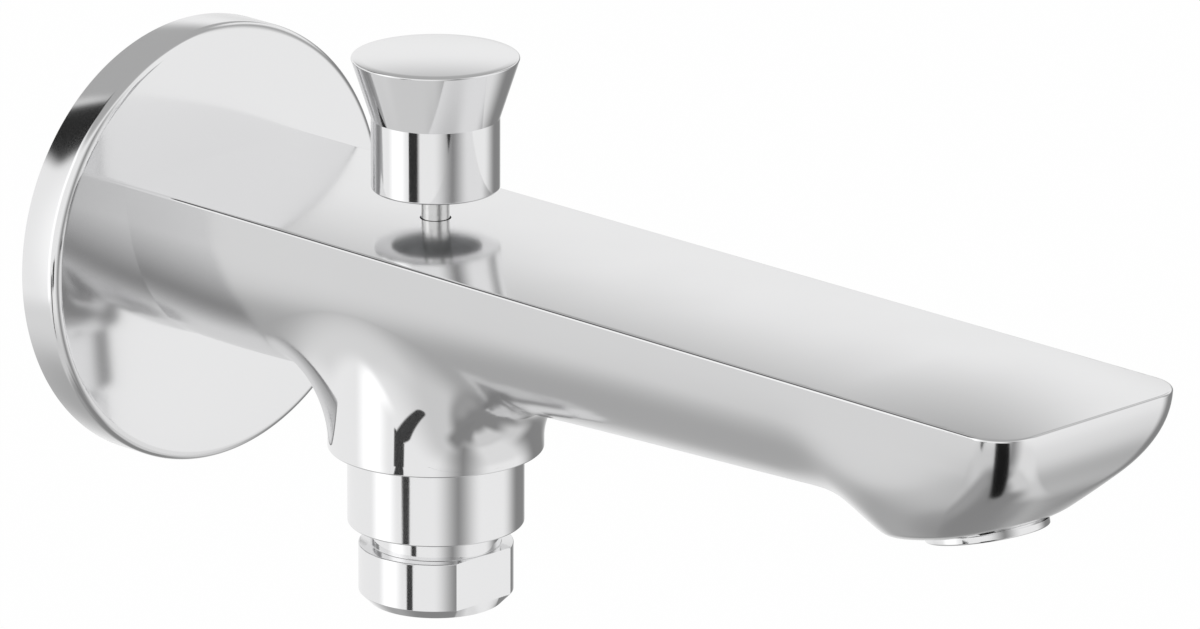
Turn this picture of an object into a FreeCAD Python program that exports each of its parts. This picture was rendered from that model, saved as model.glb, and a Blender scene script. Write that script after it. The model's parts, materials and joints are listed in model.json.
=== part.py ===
import FreeCAD, Part
import math
import os
import re

import Sketcher
from FreeCAD import Placement, Rotation, Vector

# A wall-mounted bath spout with a pull-up diverter and a hose outlet below it.
#
# Frame: the origin is the centre of the wall socket's mouth, on the wall plane.
# The spout points along -Y, +Z is up, and +X is to the right for someone who faces the wall.
# Lengths are in millimetres and angles in degrees.

SIZES = {
    # The cast body: a flat top over a half-elliptical keel whose depth changes along the spout.
    "half_width": 22.9,
    "top_height": 15.55,
    "reach": 218.4,
    "wall_depth": 31.9,
    "mid_depth": 28.7,
    "waist_depth": 24.8,
    "swoop_depth": 25.7,
    "crest_depth": 31.2,
    "front_depth": 27.2,
    "tip_depth": 21.7,
    "waist_setback": 58.4,
    "swoop_setback": 46.4,
    "crest_setback": 34.4,
    "front_setback": 18.4,
    "nose_length": 18.5,
    "nose_depth": 20.4,
    "nose_sweep": 44.0,
    "nose_corner": 7.6,
    "rim_round": 1.6,
    "edge_round": 0.5,
    "body_wall": 3.2,
    # The boss under the body, which holds the diverter chamber.
    "diverter_reach": 63.35,
    "boss_radius": 19.0,
    "boss_drop": 25.2,
    "boss_blend": 10.0,
    # The tail behind the flange, with its wall socket.
    "tail_radius": 13.5,
    "socket_radius": 9.32,
    "socket_length": 12.0,
    "inlet_washer_thickness": 2.0,
    "inlet_washer_radius": 9.8,
    "inlet_radius": 4.4,
    "inlet_drop": 3.0,
    # The wall flange, a turned shell.
    "flange_radius": 40.0,
    "flange_thickness": 8.6,
    "flange_wall": 1.5,
    "flange_round": 1.85,
    "collar_wall": 2.0,
    "collar_length": 4.6,
    "flange_seal_width": 3.0,
    "flange_seal_thickness": 2.5,
    "tail_ring_inset": 4.9,
    # The diverter chamber, its two seats and the gallery above it.
    "chamber_radius": 11.5,
    "chamber_top": 2.0,
    "seat_web": 2.5,
    "upper_seat_radius": 6.5,
    "gallery_radius": 8.5,
    "gallery_roof": 4.05,
    "duct_radius": 3.4,
    "duct_height": 8.0,
    "core_gap": 4.0,
    "core_setback": 52.0,
    "link_radius": 5.0,
    "link_height": 4.5,
    # The rod, its guide and its rings.
    "rod_radius": 2.5,
    "rod_hole_radius": 2.75,
    "rod_thread_radius": 2.0,
    "running_gap": 0.05,
    "fit_gap": 0.1,
    "crown_wall": 1.65,
    "guide_radius": 5.0,
    "guide_collar_radius": 6.0,
    "guide_collar_thickness": 2.0,
    "guide_nose_length": 2.1,
    "guide_washer_thickness": 0.8,
    "ring_section": 0.75,
    "ring_groove_width": 1.6,
    "upper_ring_height": 12.1,
    "lower_ring_height": 8.5,
    # The knob.
    "knob_gap": 6.25,
    "knob_radius": 11.25,
    "knob_barrel": 12.8,
    "knob_flare": 10.85,
    "knob_top_radius": 14.75,
    "knob_edge_round": 0.5,
    "knob_foot_round": 0.4,
    "knob_thread_depth": 11.0,
    # The valve on the rod's lower end.
    "lift": 8.0,
    "valve_radius": 9.0,
    "valve_waist_radius": 6.0,
    "valve_flange_thickness": 1.4,
    "valve_washer_thickness": 2.0,
    "backing_radius": 5.4,
    "backing_thickness": 0.8,
    "nut_flats": 7.0,
    "nut_height": 3.2,
    "rod_tail": 1.3,
    # The outlet adapter under the boss.
    "adapter_radius": 15.55,
    "adapter_length": 13.75,
    "adapter_thread_radius": 13.0,
    "adapter_thread_length": 8.7,
    "adapter_edge": 0.3,
    "adapter_bore_radius": 6.3,
    "seat_ring_width": 1.7,
    "seat_ring_height": 0.8,
    "adapter_ring_inset": 1.6,
    # The hose connector under the adapter, with two spanner flats.
    "connector_radius": 13.65,
    "connector_length": 10.4,
    "connector_neck_radius": 11.5,
    "connector_neck_length": 3.9,
    "connector_thread_radius": 10.5,
    "connector_thread_length": 8.0,
    "connector_bore_radius": 6.8,
    "connector_chamfer": 1.8,
    "connector_flats": 23.9,
    "connector_washer_thickness": 1.5,
    "hose_thread_radius": 9.32,
    "hose_thread_length": 8.0,
    "hose_washer_radius": 9.7,
    "hose_washer_thickness": 2.0,
    # The outlet under the nose, square to its tilted face, with the aerator in it.
    "outlet_tilt": 13.2,
    "outlet_setback": 24.3,
    "outlet_drop": 8.9,
    "aerator_proud": 1.2,
    "aerator_ring_radius": 10.5,
    "aerator_mouth_radius": 8.3,
    "aerator_mouth_chamfer": 0.5,
    "aerator_thread_radius": 9.9,
    "aerator_wall": 0.95,
    "aerator_depth": 10.3,
    "aerator_washer_thickness": 2.0,
    "aerator_washer_width": 2.3,
    "riser_radius": 7.4,
    "riser_length": 7.5,
    "grid_thickness": 2.0,
    "grid_pitch": 2.3,
    "grid_web": 0.45,
    "cup_height": 4.2,
    "cup_wall": 1.2,
    "jet_plate_thickness": 1.4,
    "jet_radius": 0.6,
    "jet_circle_radius": 5.6,
    "jet_count": 12,
    "screen_thickness": 0.6,
    "screen_pitch": 1.8,
    "screen_web": 0.5,
}

SIZE_NAME = re.compile(r"\b[a-z][a-z_]*\b(?!\()")
ROOT_HALF = math.sqrt(0.5)
FAR = 400.0

doc = FreeCAD.newDocument("wall_spout")
sheet = doc.addObject("Spreadsheet::Sheet", "sizes")
nodes = []


def fill_sheet():
    """Write every driving size into the sheet, with its name as the cell's alias."""
    for row, (name, number) in enumerate(SIZES.items(), start=1):
        sheet.set(f"A{row}", name)
        sheet.set(f"B{row}", str(number))
        sheet.setAlias(f"B{row}", name)
    doc.recompute()


def size(name):
    """One driving size as a plain number."""
    return float(sheet.get(name))


def formula(text):
    """Turn the size names in a formula into references to the sheet's cells."""
    return SIZE_NAME.sub(lambda word: "sizes." + word.group(), text)


def bind(thing, **formulas):
    """Bind properties of an object to formulas of the sizes."""
    for name, text in formulas.items():
        thing.setExpression(name, formula(text))


def place(thing, turn=None, **where):
    """Bind an object's place to formulas; turn is an axis and a formula for the angle about it."""
    if turn:
        thing.Placement = Placement(Vector(), Rotation(turn[0], 1))
        thing.setExpression("Placement.Rotation.Angle", formula(turn[1]))
    for name, text in where.items():
        thing.setExpression("Placement.Base." + name, formula(text))


def on_diverter(thing):
    """Place an object on the diverter's vertical axis."""
    place(thing, y="-diverter_reach")


def on_wall_axis(thing):
    """Turn an object so that its own +Z points from the wall along the spout."""
    place(thing, turn=(Vector(1, 0, 0), "90"))


def on_outlet(thing):
    """Place an object on the outlet's axis, with its own +Z pointing up into the nose."""
    place(thing, turn=(Vector(-1, 0, 0), "outlet_tilt"), y="outlet_setback - reach", z="-outlet_drop")


def node(thing, label):
    """Name an object as one piece of the spout."""
    thing.Label = label
    nodes.append(thing)
    return thing


def origin_plane(body, role):
    """One of a body's own origin planes."""
    return next(plane for plane in body.Origin.OriginFeatures if plane.Role == role)


def outline(body, name, corners, role="XZ_Plane"):
    """A closed sketch of straight lines whose corners are pairs of formulas of the sizes."""
    sketch = body.newObject("Sketcher::SketchObject", name)
    sketch.AttachmentSupport = [(origin_plane(body, role), "")]
    sketch.MapMode = "FlatFace"
    count = len(corners)
    for i in range(count):
        j = (i + 1) % count
        sketch.addGeometry(Part.LineSegment(Vector(i, i * i, 0), Vector(j, j * j, 0)), False)
    for i, (across, along) in enumerate(corners):
        sketch.addConstraint(Sketcher.Constraint("Coincident", i, 2, (i + 1) % count, 1))
        for kind, start, text in (("DistanceX", i, across), ("DistanceY", i * i, along)):
            index = sketch.addConstraint(Sketcher.Constraint(kind, i, 1, float(start)))
            sketch.renameConstraint(index, f"{kind}{i}")
            sketch.setExpression(f"Constraints.{kind}{i}", formula(text))
    return sketch


def turned(name, corners):
    """A turned piece: an outline of radius and height pairs, revolved about its own Z axis."""
    body = doc.addObject("PartDesign::Body", name)
    sketch = outline(body, name + "_profile", corners)
    revolution = body.newObject("PartDesign::Revolution", name + "_turning")
    revolution.Profile = sketch
    revolution.ReferenceAxis = (sketch, ["V_Axis"])
    revolution.Angle = 360
    doc.recompute()
    return body


def ring_edges(shape, radius, height):
    """Names of the circular edges of a turned shape that have this radius and height."""
    names = []
    for i, edge in enumerate(shape.Edges, start=1):
        curve = edge.Curve
        if isinstance(curve, Part.Circle) and abs(curve.Radius - radius) < 1e-4:
            if abs(curve.Center.z - height) < 1e-4:
                names.append(f"Edge{i}")
    return names


def round_rings(body, radius, *rings):
    """Round the circular edges of a turned body at the given radius and height pairs."""
    base = body.Tip
    names = [name for ring in rings for name in ring_edges(base.Shape, *ring)]
    fillet = body.newObject("PartDesign::Fillet", body.Name + "_rounding")
    fillet.Base = (base, names)
    fillet.setExpression("Radius", formula(radius))
    doc.recompute()


def cylinder(name, radius, height):
    """A cylinder primitive whose radius and height are formulas of the sizes."""
    piece = doc.addObject("Part::Cylinder", name)
    bind(piece, Radius=radius, Height=height)
    return piece


def o_ring(name, radius, section="ring_section"):
    """A torus primitive: radius is to the centre of its round section."""
    ring = doc.addObject("Part::Torus", name)
    bind(ring, Radius1=radius, Radius2=section)
    return ring


def compound(name, pieces):
    """Several separate solids of one kind, kept as one object."""
    group = doc.addObject("Part::Compound", name)
    group.Links = pieces
    return group


def cut(name, base, tool):
    """One object less another."""
    result = doc.addObject("Part::Cut", name)
    result.Base = base
    result.Tool = tool
    return result


def point_on(edge, share):
    """The point at a share of an edge's parameter range."""
    return edge.valueAt(edge.FirstParameter + (edge.LastParameter - edge.FirstParameter) * share)


def edge_points(edge):
    """Five points spread along an edge."""
    return [point_on(edge, i / 4) for i in range(5)]


def quarter_weights(count):
    """Weights that make control points at the corners of a box draw an ellipse."""
    return [[weight] * count for weight in (1, ROOT_HALF, 1, ROOT_HALF, 1)]


def keel_stations():
    """Distance from the wall and depth below the top, at the stations that shape the keel."""
    reach = size("reach")
    waist = reach - size("waist_setback")
    return [
        (0, size("wall_depth")),
        (waist / 2, size("mid_depth")),
        (waist, size("waist_depth")),
        (reach - size("swoop_setback"), size("swoop_depth")),
        (reach - size("crest_setback"), size("crest_depth")),
        (reach - size("front_setback"), size("front_depth")),
        (reach + size("edge_round") + size("nose_corner"), size("tip_depth")),
    ]


def hull(half_width, top, stations):
    """A solid with a flat top and a half-elliptical underside.

    Every section across the spout is half an ellipse: its half width is constant, and its depth
    follows a smooth curve through the stations. Five rows of control points, at the corners of the
    box around each half ellipse, draw it exactly.
    """
    keel = Part.BSplineCurve()
    keel.interpolate([Vector(0, -along, -depth) for along, depth in stations])
    poles = keel.getPoles()
    rows = [
        [Vector(-half_width, pole.y, top) for pole in poles],
        [Vector(-half_width, pole.y, top + pole.z) for pole in poles],
        [Vector(0, pole.y, top + pole.z) for pole in poles],
        [Vector(half_width, pole.y, top + pole.z) for pole in poles],
        [Vector(half_width, pole.y, top) for pole in poles],
    ]
    surface = Part.BSplineSurface()
    surface.buildFromPolesMultsKnots(
        rows, [3, 2, 3], keel.getMultiplicities(), [0.0, 0.5, 1.0], keel.getKnots(),
        False, False, 2, keel.Degree, quarter_weights(len(poles)))
    ends = [end_face([row[i] for row in rows]) for i in (0, -1)]
    corners = [rows[0][0], rows[4][0], rows[4][-1], rows[0][-1], rows[0][0]]
    lid = Part.Face(Part.makePolygon(corners))
    shell = Part.makeShell([surface.toShape(), lid] + ends)
    shell.sewShape()
    solid = Part.Solid(shell)
    if solid.Volume < 0:
        solid.reverse()
    return solid


def end_face(poles):
    """The flat half-elliptical face between five control points and the line that closes them."""
    arc = Part.BSplineCurve()
    weights = [1, ROOT_HALF, 1, ROOT_HALF, 1]
    arc.buildFromPolesMultsKnots(poles, [3, 2, 3], [0.0, 0.5, 1.0], False, 2, weights)
    return Part.Face(Part.Wire([arc.toShape(), Part.makeLine(poles[-1], poles[0])]))


def nose_envelope():
    """What lies behind the front face: a quarter ellipse in side view, then its tangent line."""
    reach, top = size("reach"), size("top_height")
    length, depth = size("nose_length"), size("nose_depth")
    sweep = math.radians(size("nose_sweep"))
    front = Part.BSplineCurve()
    poles = [Vector(0, -reach, top), Vector(0, -reach, top - depth)]
    poles.append(Vector(0, length - reach, top - depth))
    front.buildFromPolesMultsKnots(poles, [3, 3], [0.0, 1.0], False, 2, [1, ROOT_HALF, 1])
    leave = Vector(0, length * (1 - math.cos(sweep)) - reach, top - depth * math.sin(sweep))
    front.segment(0, front.parameter(leave))
    leave = front.value(front.LastParameter)
    slope = length * math.sin(sweep) / (depth * math.cos(sweep))
    low = Vector(0, leave.y + slope * (leave.z + FAR), -FAR)
    behind = -size("flange_thickness")
    corners = [leave, low, Vector(0, behind, -FAR), Vector(0, behind, FAR)]
    corners += [Vector(0, -reach, FAR), Vector(0, -reach, top)]
    if low.y > behind:
        foot = Vector(0, behind, leave.z - (behind - leave.y) / slope)
        corners = [leave, foot] + corners[3:]
    sides = [Part.makeLine(a, b) for a, b in zip(corners, corners[1:])]
    face = Part.Face(Part.Wire([front.toShape()] + sides))
    solid = face.extrude(Vector(2 * FAR, 0, 0))
    solid.translate(Vector(-FAR, 0, 0))
    return solid


def below_outlet():
    """Everything below the tilted outlet face."""
    block = Part.makeBox(2 * FAR, 2 * FAR, FAR, Vector(-FAR, -FAR, -FAR))
    block.Placement = outlet_placement()
    return block


def outlet_placement():
    """The outlet's place: the middle of its face, with +Z square to it, up into the nose."""
    middle = Vector(0, size("outlet_setback") - size("reach"), -size("outlet_drop"))
    return Placement(middle, Rotation(Vector(-1, 0, 0), size("outlet_tilt")))


def corner_edges(shape):
    """The two edges where the front face meets the sides."""
    limit = size("nose_corner") / 2 - size("reach")
    side = size("half_width")
    return [edge for edge in shape.Edges
            if edge.BoundBox.ZLength > 1 and edge.BoundBox.YMin < limit
            and edge.BoundBox.XLength < side]


def rim_edges(shape):
    """The edges of the tilted outlet face."""
    face = outlet_placement().inverse()
    return [edge for edge in shape.Edges
            if all(abs(face.multVec(point).z) < 0.01 for point in edge_points(edge))]


def top_edges(shape):
    """The edges of the flat top, apart from the one at the flange."""
    top, behind = size("top_height"), -size("flange_thickness")
    return [edge for edge in shape.Edges
            if edge.BoundBox.ZMin > top - 0.001 and edge.BoundBox.YMin < behind - 1]


def boss_edges(shape):
    """The edges where the boss meets the keel."""
    reach, radius, foot = size("diverter_reach"), size("boss_radius"), -size("boss_drop")
    return [edge for edge in shape.Edges
            if all(abs(math.hypot(point.x, point.y + reach) - radius) < 0.01
                   for point in edge_points(edge))
            and edge.BoundBox.ZMax > foot + 1 and edge.BoundBox.ZMin > foot + 1]


def casting():
    """The outside of the cast body: the hull, its rounded nose and the blended boss."""
    half_width, top = size("half_width"), size("top_height")
    shape = hull(half_width, top, keel_stations()).common(nose_envelope())
    shape = shape.makeFillet(size("nose_corner"), corner_edges(shape))
    shape = shape.cut(below_outlet())
    shape = shape.makeFillet(size("rim_round"), rim_edges(shape))
    shape = shape.makeFillet(size("edge_round"), top_edges(shape))
    foot = Vector(0, -size("diverter_reach"), -size("boss_drop"))
    boss = Part.makeCylinder(size("boss_radius"), size("boss_drop") + top / 2, foot)
    shape = shape.fuse(boss).removeSplitter()
    return shape.makeFillet(size("boss_blend"), boss_edges(shape))


def front_core():
    """The hollow in the front of the casting: the hull's own form, one wall further in."""
    wall = size("body_wall")
    start = size("diverter_reach") + size("chamber_radius") + size("core_gap")
    end = size("reach") - size("core_setback")
    stations = [(along, depth - 2 * wall) for along, depth in keel_stations()]
    inside = hull(size("half_width") - wall, size("top_height") - wall, stations)
    return inside.common(Part.makeBox(2 * FAR, end - start, 2 * FAR, Vector(-FAR, -end, -FAR)))


def shaped(name, shape):
    """An object that holds a shape worked out in this script."""
    thing = doc.addObject("Part::Feature", name)
    thing.Shape = shape
    return thing


def vertical_hole(name, radius, low, high):
    """A round hole on the diverter's axis between two heights."""
    hole = cylinder(name, radius, f"({high}) - ({low})")
    place(hole, y="-diverter_reach", z=low)
    return hole


def level_hole(name, radius, height, near, far):
    """A round hole along the spout between two distances from the wall."""
    hole = cylinder(name, radius, f"({far}) - ({near})")
    place(hole, turn=(Vector(1, 0, 0), "90"), y=f"-({near})", z=height)
    return hole


def raise_along_outlet(thing, height):
    """Move an object on the outlet's axis to a height over its face."""
    place(thing, y=f"outlet_setback - reach + ({height}) * sin(outlet_tilt)",
          z=f"({height}) * cos(outlet_tilt) - outlet_drop")


def outlet_hole(name, radius, low, high):
    """A round hole on the outlet's axis between two heights over its face."""
    hole = cylinder(name, radius, f"({high}) - ({low})")
    on_outlet(hole)
    raise_along_outlet(hole, low)
    return hole


def waterways():
    """Every hole and hollow in the casting, from the wall socket to the outlet."""
    socket_floor = "socket_length + inlet_washer_thickness"
    chamber_roof = "chamber_top + seat_web"
    gallery_top = "top_height - gallery_roof"
    thread_top = "adapter_thread_length + adapter_edge - boss_drop"
    thread = "adapter_thread_radius + fit_gap"
    holes = [
        level_hole("wall_socket", "socket_radius", "0", "-1", "socket_length"),
        level_hole("washer_recess", "inlet_washer_radius + fit_gap", "0",
                   "socket_length", socket_floor),
        level_hole("inlet_bore", "inlet_radius", "-inlet_drop", socket_floor, "diverter_reach"),
        vertical_hole("adapter_thread", thread, "-boss_drop - 1", thread_top),
        vertical_hole("chamber", "chamber_radius", "-boss_drop", "chamber_top"),
        vertical_hole("upper_seat", "upper_seat_radius", "chamber_top - 1", chamber_roof),
        vertical_hole("gallery", "gallery_radius", chamber_roof, gallery_top),
        vertical_hole("guide_socket", "guide_radius", chamber_roof, "top_height - crown_wall"),
        vertical_hole("rod_hole", "rod_hole_radius", chamber_roof, "top_height + 1"),
        level_hole("duct", "duct_radius", "duct_height", "diverter_reach",
                   "diverter_reach + chamber_radius + core_gap + 1"),
        level_hole("link", "link_radius", "link_height", "reach - core_setback - 1",
                   "reach - outlet_setback"),
        outlet_hole("aerator_thread", "aerator_thread_radius + fit_gap", "-1", "aerator_depth"),
        outlet_hole("riser", "riser_radius", "aerator_depth - 1", "aerator_depth + riser_length"),
        shaped("front_core", front_core()),
    ]
    union = doc.addObject("Part::MultiFuse", "waterways")
    union.Shapes = holes
    return union


def ring_groove(name, outer, section, low, high):
    """A groove in a shaft along the wall axis that leaves a root of radius outer less section."""
    body = turned(name, [
        (f"{outer} - 2 * {section}", low), (f"{outer} + 1", low),
        (f"{outer} + 1", high), (f"{outer} - 2 * {section}", high)])
    on_wall_axis(body)
    return body


def make_spout_body():
    """The cast body with its tail, its ring groove and its waterways."""
    tail = level_hole("tail", "tail_radius", "0", "0", "flange_thickness + 1")
    solid = doc.addObject("Part::MultiFuse", "solid_casting")
    solid.Shapes = [shaped("casting", casting()), tail]
    groove = ring_groove("tail_groove", "tail_radius + fit_gap", "ring_section",
                         "tail_ring_inset - ring_groove_width / 2",
                         "tail_ring_inset + ring_groove_width / 2")
    grooved = cut("grooved_casting", solid, groove)
    return node(cut("bored_casting", grooved, waterways()), "spout_body")


def make_flange():
    """The wall flange: a turned shell with a collar round the body's tail."""
    hole = "tail_radius + fit_gap"
    collar = "tail_radius + fit_gap + collar_wall"
    inner_face = "flange_thickness - flange_wall"
    body = turned("flange", [
        (hole, "flange_thickness"), ("flange_radius", "flange_thickness"),
        ("flange_radius", "0"), ("flange_radius - flange_wall", "0"),
        ("flange_radius - flange_wall", inner_face), (collar, inner_face),
        (collar, "flange_thickness - flange_wall - collar_length"),
        (hole, "flange_thickness - flange_wall - collar_length")])
    round_rings(body, "flange_round", (size("flange_radius"), size("flange_thickness")))
    on_wall_axis(body)
    node(body, "wall_flange")
    seal = turned("seal", flat_ring("flange_radius - flange_wall - flange_seal_width",
                                    "flange_radius - flange_wall", "0", "flange_seal_thickness"))
    on_wall_axis(seal)
    node(seal, "flange_seal")
    ring = o_ring("tail_ring", "tail_radius + fit_gap - ring_section")
    place(ring, turn=(Vector(1, 0, 0), "90"), y="-tail_ring_inset")
    node(ring, "tail_o_ring")


def flat_ring(inner, outer, low, high):
    """The section of a flat ring."""
    return [(inner, low), (outer, low), (outer, high), (inner, high)]


def make_inlet_washer():
    """The flat washer at the bottom of the wall socket."""
    washer = turned("inlet_ring", flat_ring("inlet_radius + inlet_drop + fit_gap", "inlet_washer_radius",
                                            "socket_length",
                                            "socket_length + inlet_washer_thickness"))
    on_wall_axis(washer)
    node(washer, "inlet_washer")


def make_guide():
    """The bush that guides the rod, screwed into the crown from below, with its seals."""
    bore = "rod_radius + running_gap"
    groove = "rod_radius + running_gap + 2 * ring_section"
    thread = "guide_radius - fit_gap"
    top = "top_height - crown_wall"
    seat = "top_height - gallery_roof - guide_washer_thickness"
    collar = "top_height - gallery_roof - guide_washer_thickness - guide_collar_thickness"
    foot = collar + " - guide_nose_length"
    corners = [(bore, top)]
    for height in ("upper_ring_height", "lower_ring_height"):
        high = height + " + ring_groove_width / 2"
        low = height + " - ring_groove_width / 2"
        corners += [(bore, high), (groove, high), (groove, low), (bore, low)]
    corners += [(bore, foot), (thread, foot), (thread, collar), ("guide_collar_radius", collar),
                ("guide_collar_radius", seat), (thread, seat), (thread, top)]
    guide = turned("guide", corners)
    on_diverter(guide)
    node(guide, "rod_guide")
    washer = turned("guide_ring", flat_ring(thread, "guide_collar_radius", seat,
                                            "top_height - gallery_roof"))
    on_diverter(washer)
    node(washer, "guide_washer")
    rings = []
    for name, height in (("upper_rod_ring", "upper_ring_height"),
                         ("lower_rod_ring", "lower_ring_height")):
        ring = o_ring(name, "rod_radius + running_gap + ring_section")
        place(ring, y="-diverter_reach", z=height)
        rings.append(ring)
    node(compound("rod_rings", rings), "rod_o_rings")


def make_knob():
    """The pull knob: a short barrel that flares to a flat top."""
    hole = "rod_radius + fit_gap / 2"
    foot = "top_height + knob_gap"
    crease = foot + " + knob_barrel"
    top = crease + " + knob_flare"
    body = turned("knob", [
        (hole, foot), ("knob_radius", foot), ("knob_radius", crease), ("knob_top_radius", top),
        ("0", top), ("0", foot + " + knob_thread_depth + fit_gap"),
        (hole, foot + " + knob_thread_depth + fit_gap")])
    low = size("top_height") + size("knob_gap")
    high = low + size("knob_barrel") + size("knob_flare")
    round_rings(body, "knob_edge_round", (size("knob_top_radius"), high))
    round_rings(body, "knob_foot_round", (size("knob_radius"), low))
    on_diverter(body)
    node(body, "diverter_knob")


def make_valve():
    """The rod with its valve: two washers on a spool, held by a nut and two backing washers."""
    seat = "adapter_thread_length + seat_ring_height - boss_drop"
    shut = "chamber_top - lift - running_gap"
    shoulder = shut + " + backing_thickness"
    hole = "rod_thread_radius + running_gap"
    spool_top = shut + " - valve_washer_thickness"
    spool_foot = seat + " + valve_washer_thickness"
    nut_top = seat + " - backing_thickness"
    rod_foot = nut_top + " - nut_height - rod_tail"
    rod = turned("rod", [
        ("0", "top_height + knob_gap + knob_thread_depth"),
        ("rod_radius", "top_height + knob_gap + knob_thread_depth"),
        ("rod_radius", shoulder), ("rod_thread_radius", shoulder),
        ("rod_thread_radius", rod_foot), ("0", rod_foot)])
    spool = turned("spool", [
        (hole, spool_foot), ("valve_radius", spool_foot),
        ("valve_radius", spool_foot + " + valve_flange_thickness"),
        ("valve_waist_radius", spool_foot + " + valve_flange_thickness"),
        ("valve_waist_radius", spool_top + " - valve_flange_thickness"),
        ("valve_radius", spool_top + " - valve_flange_thickness"),
        ("valve_radius", spool_top), (hole, spool_top)])
    upper = turned("upper_washer", flat_ring(hole, "valve_radius", spool_top, shut))
    lower = turned("lower_washer", flat_ring(hole, "valve_radius", seat, spool_foot))
    backs = [turned("upper_back", flat_ring(hole, "backing_radius", shut, shoulder)),
             turned("lower_back", flat_ring(hole, "backing_radius", nut_top, seat))]
    hexagon = doc.addObject("Part::Prism", "nut_block")
    hexagon.Polygon = 6
    bind(hexagon, Circumradius="nut_flats / 3 ^ 0.5", Height="nut_height")
    place(hexagon, y="-diverter_reach", z=nut_top + " - nut_height")
    thread = vertical_hole("nut_thread", hole, nut_top + " - nut_height - 1", nut_top + " + 1")
    for piece in [rod, spool, upper, lower] + backs:
        on_diverter(piece)
    node(rod, "diverter_rod")
    node(spool, "valve_spool")
    node(upper, "upper_valve_washer")
    node(lower, "lower_valve_washer")
    node(compound("backs", backs), "backing_washers")
    node(cut("nut", hexagon, thread), "rod_nut")


def make_adapter():
    """The outlet adapter: the valve's lower seat on top, a threaded recess below."""
    foot = "-boss_drop - adapter_length"
    top = "adapter_thread_length - boss_drop"
    seat = top + " + seat_ring_height"
    floor = foot + " + connector_thread_length + connector_washer_thickness"
    thread = "adapter_thread_radius"
    root = "adapter_thread_radius + fit_gap - 2 * ring_section"
    ring = top + " - adapter_ring_inset"
    high = ring + " + ring_groove_width / 2"
    low = ring + " - ring_groove_width / 2"
    recess = "connector_thread_radius + fit_gap"
    body = turned("adapter", [
        ("adapter_bore_radius", seat), ("adapter_bore_radius", floor), (recess, floor),
        (recess, foot), ("adapter_radius", foot), ("adapter_radius", "-boss_drop"),
        (thread, "-boss_drop"), (thread, low), (root, low), (root, high), (thread, high),
        (thread, top), ("adapter_bore_radius + seat_ring_width", top),
        ("adapter_bore_radius + seat_ring_width", seat)])
    low_edge = -size("boss_drop") - size("adapter_length")
    round_rings(body, "adapter_edge", (size("adapter_radius"), low_edge))
    on_diverter(body)
    node(body, "outlet_adapter")
    seal = o_ring("adapter_ring", "adapter_thread_radius + fit_gap - ring_section")
    place(seal, y="-diverter_reach", z=ring)
    node(seal, "adapter_o_ring")
    washer = turned("connector_ring", flat_ring(
        "connector_bore_radius", "connector_thread_radius",
        foot + " + connector_thread_length", floor))
    on_diverter(washer)
    node(washer, "connector_washer")


def make_connector():
    """The hose connector: threaded at both ends, with a neck and two spanner flats."""
    collar = "-boss_drop - adapter_length"
    top = collar + " + connector_thread_length"
    shoulder = collar + " - connector_neck_length"
    foot = shoulder + " - connector_length"
    recess = foot + " + hose_thread_length"
    bore, thread = "connector_bore_radius", "connector_thread_radius"
    body = turned("connector", [
        (bore, top), (bore, recess + " + hose_washer_thickness"),
        ("hose_washer_radius + fit_gap", recess + " + hose_washer_thickness"),
        ("hose_washer_radius + fit_gap", recess), ("hose_thread_radius", recess),
        ("hose_thread_radius", foot), ("connector_radius - connector_chamfer", foot),
        ("connector_radius", foot + " + connector_chamfer"), ("connector_radius", shoulder),
        ("connector_neck_radius", shoulder), ("connector_neck_radius", collar),
        (thread, collar), (thread, top)])
    flats = [outline(body, f"flat_{side}", [
        ("-connector_radius", f"{sign}connector_flats / 2"),
        ("connector_radius", f"{sign}connector_flats / 2"),
        ("connector_radius", f"{sign}connector_flats"),
        ("-connector_radius", f"{sign}connector_flats")], "XY_Plane")
        for side, sign in (("front", "-"), ("back", ""))]
    for sketch in flats:
        pocket = body.newObject("PartDesign::Pocket", sketch.Name + "_milling")
        pocket.Profile = sketch
        pocket.Type = "ThroughAll"
        pocket.Midplane = True
        doc.recompute()
    on_diverter(body)
    node(body, "hose_connector")
    washer = turned("hose_ring", flat_ring(
        "connector_bore_radius", "hose_washer_radius", recess,
        recess + " + hose_washer_thickness"))
    on_diverter(washer)
    node(washer, "hose_washer")


def hole_lattice(radius, pitch, across, height):
    """Six-sided prisms on a honeycomb lattice, all of them inside a circle of this radius."""
    prisms = []
    rows = int(radius / pitch) + 1
    for row in range(-rows, rows + 1):
        for column in range(-rows, rows + 1):
            middle = Vector((column + row / 2) * pitch, row * pitch * math.sqrt(3) / 2, 0)
            if middle.Length + across / math.sqrt(3) > radius:
                continue
            turns = [math.radians(60 * i + 30) for i in range(7)]
            reach = across / math.sqrt(3)
            ring = [middle + Vector(math.cos(t), math.sin(t), 0) * reach for t in turns]
            ring[-1] = ring[0]
            prisms.append(Part.Face(Part.makePolygon(ring)).extrude(Vector(0, 0, height)))
    return Part.makeCompound(prisms)


def pierced_disc(name, radius, low, sizes_of):
    """A disc on the outlet's axis, pierced by a honeycomb within the aerator's mouth."""
    thickness, pitch, web = (f"{sizes_of}_{word}" for word in ("thickness", "pitch", "web"))
    disc = outlet_hole(name + "_disc", radius, low, f"{low} + {thickness}")
    across = size(pitch) - size(web)
    holes = shaped(name + "_holes", hole_lattice(
        size("aerator_mouth_radius"), size(pitch), across, 3 * size(thickness)))
    on_outlet(holes)
    raise_along_outlet(holes, f"{low} - {thickness}")
    return cut(name, disc, holes)


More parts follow.
